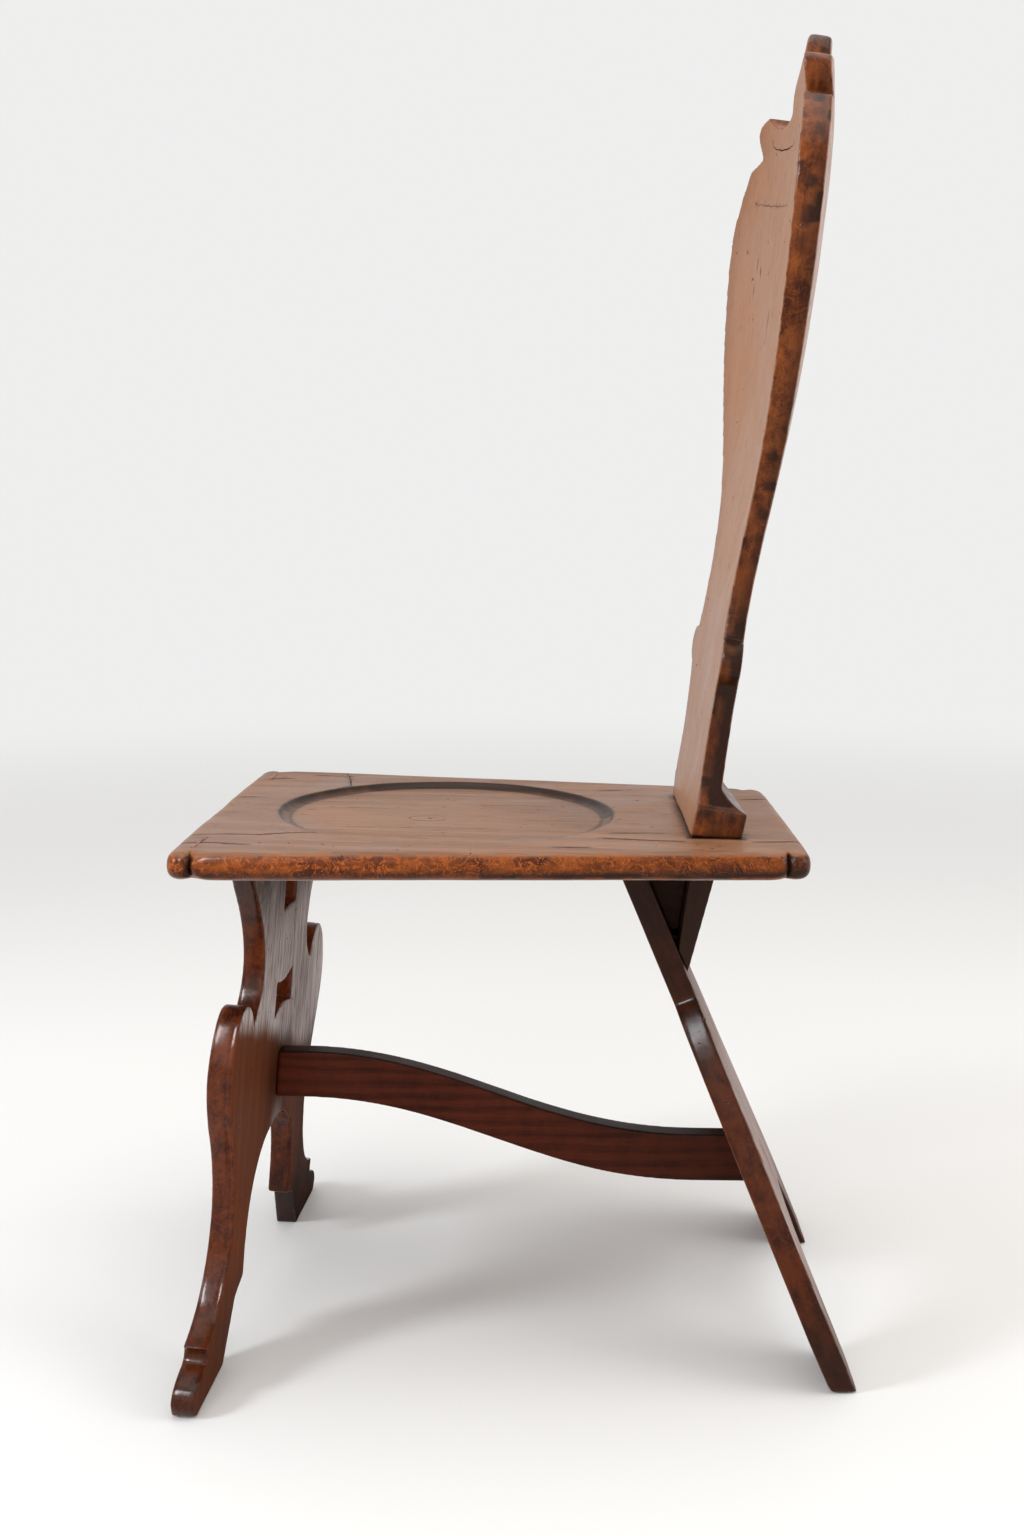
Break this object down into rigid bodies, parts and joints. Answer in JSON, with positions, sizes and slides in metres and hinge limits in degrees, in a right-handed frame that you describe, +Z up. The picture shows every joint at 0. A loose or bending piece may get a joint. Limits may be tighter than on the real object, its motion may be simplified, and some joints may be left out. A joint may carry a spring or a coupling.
{
  "type": "hall chair",
  "caption": "Plank hall chair: dished seat, tall shaped back board tailed through the seat, pierced scrolled front leg, splayed rear leg and an S-curved stretcher.",
  "frame": {"origin": "on the floor, at the middle of the chair's footprint", "axes": "+Z up, -Y towards the front of the seat, +X to the sitter's left"},
  "size_m": [0.4324, 0.5522, 1.1192],
  "materials": {
    "seat_wood": "old wax, worn",
    "back_wood": "old wax, worn",
    "leg_wood": "dark old polish",
    "stretcher_wood": "dark old polish",
    "block_wood": "bare, aged",
    "iron": "wrought, dark"
  },
  "bodies": {
    "root": {"seat_board": "seat_wood", "back_board": "back_wood", "front_leg_board": "leg_wood", "rear_leg_board": "leg_wood", "stretcher": "stretcher_wood", "stretcher_front_wedges": "block_wood", "stretcher_rear_wedges": "block_wood", "front_glue_blocks": "block_wood", "rear_glue_blocks": "block_wood", "tail_nails": "iron"}
  },
  "joints": []
}
